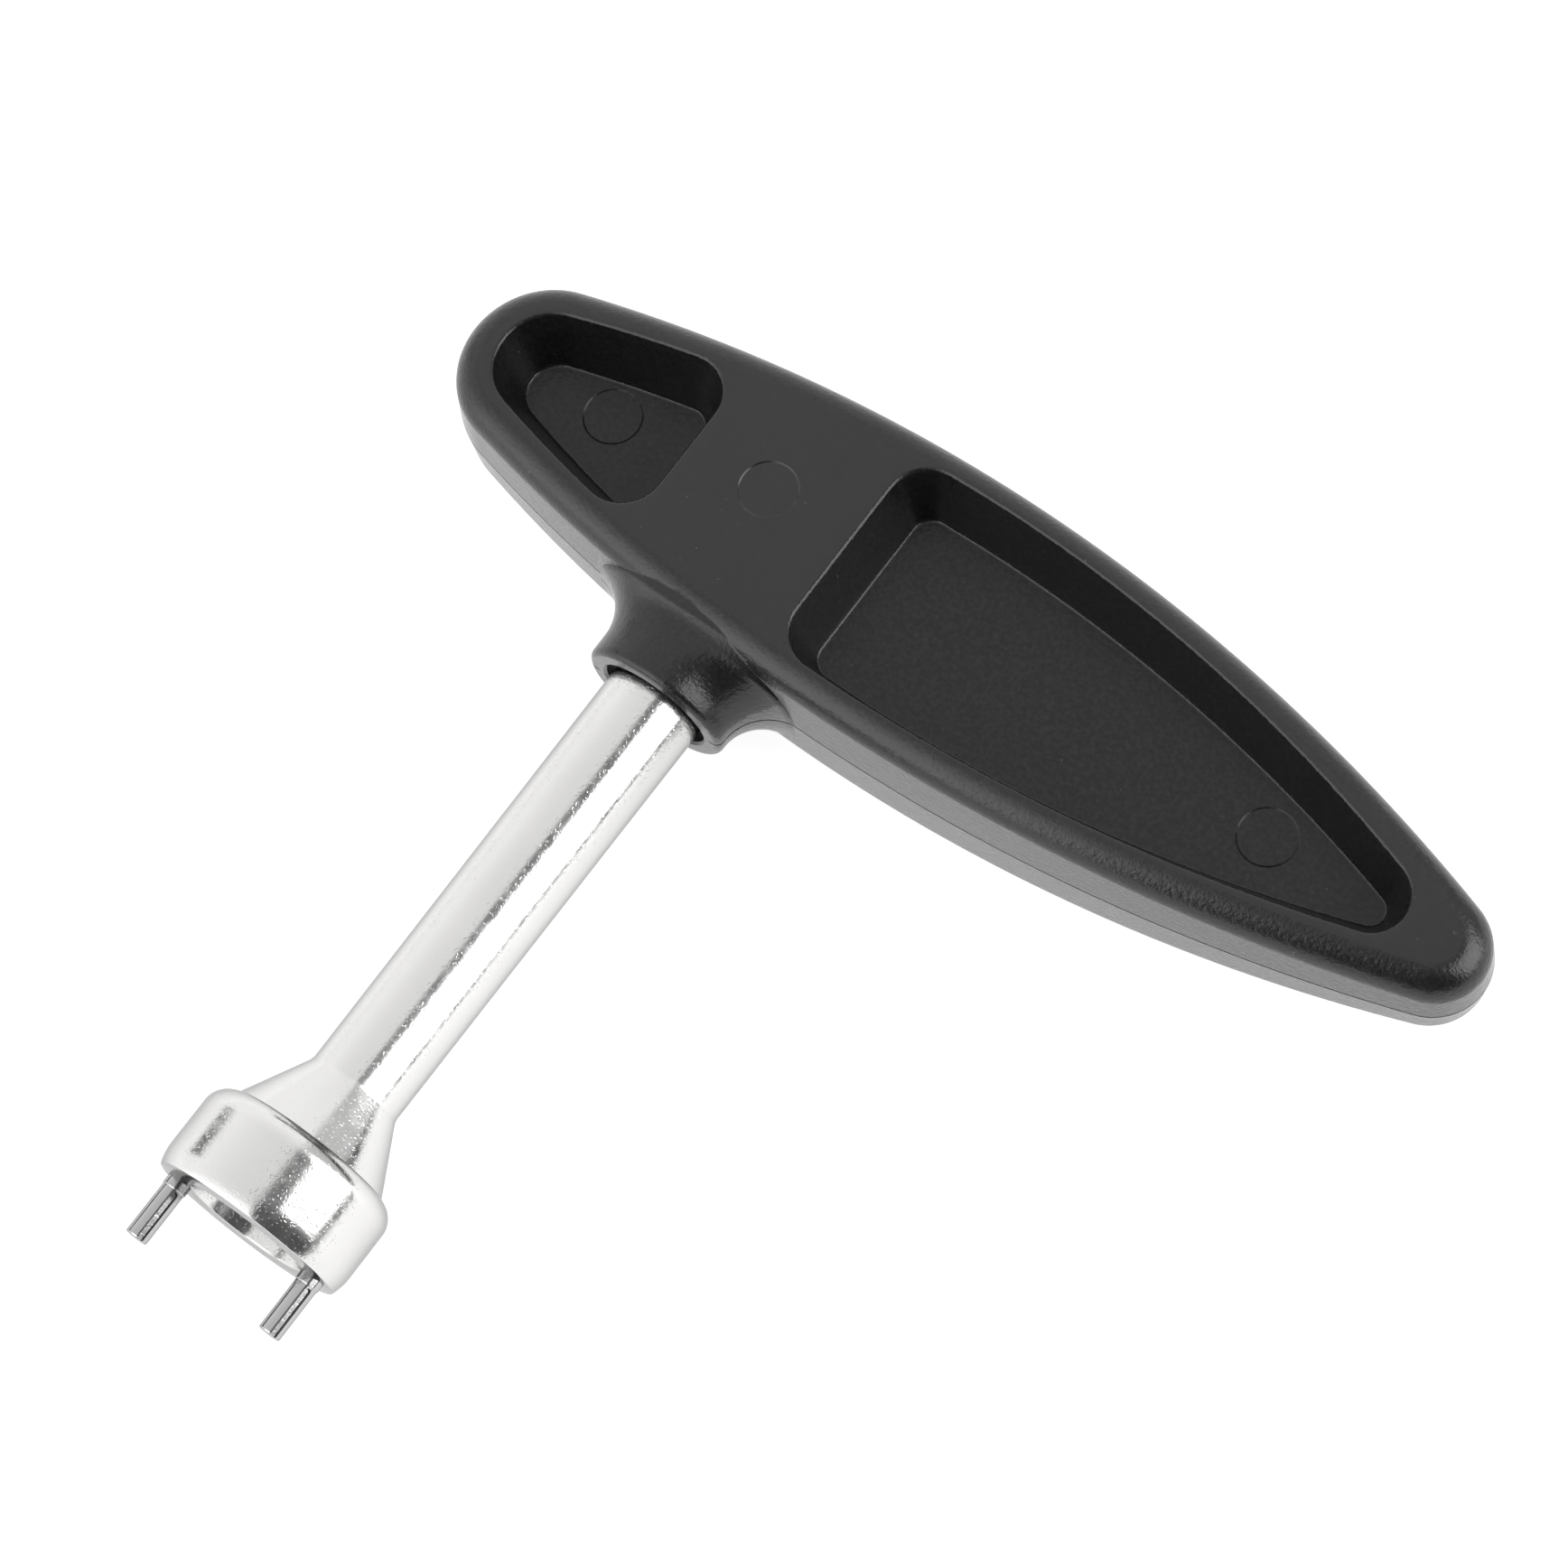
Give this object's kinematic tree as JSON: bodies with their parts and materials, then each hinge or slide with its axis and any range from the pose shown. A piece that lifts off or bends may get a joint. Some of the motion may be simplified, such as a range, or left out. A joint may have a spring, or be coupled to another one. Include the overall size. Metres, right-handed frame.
{
  "type": "t-handle pin wrench",
  "caption": "T-handle wrench with a moulded off-centre grip and a plated shank whose cup-shaped head carries drive pins.",
  "frame": {"origin": "midway between the two drive pins, on the flat rim of the cup", "axes": "+X along the handle towards its long tip, +Y up the shank to the handle (the pins point to -Y), +Z out of the handle's front face"},
  "size_m": [0.1163, 0.104, 0.0206],
  "materials": {
    "handle_plastic": "satin black ABS, finely textured sides",
    "shank_plating": "bright nickel plating over turned steel, slightly pitted",
    "pin_steel": "polished hardened steel"
  },
  "bodies": {
    "root": {"handle_front_half": "handle_plastic", "handle_rear_half": "handle_plastic", "driver_shank": "shank_plating", "pin_left": "pin_steel", "pin_right": "pin_steel"}
  },
  "joints": []
}
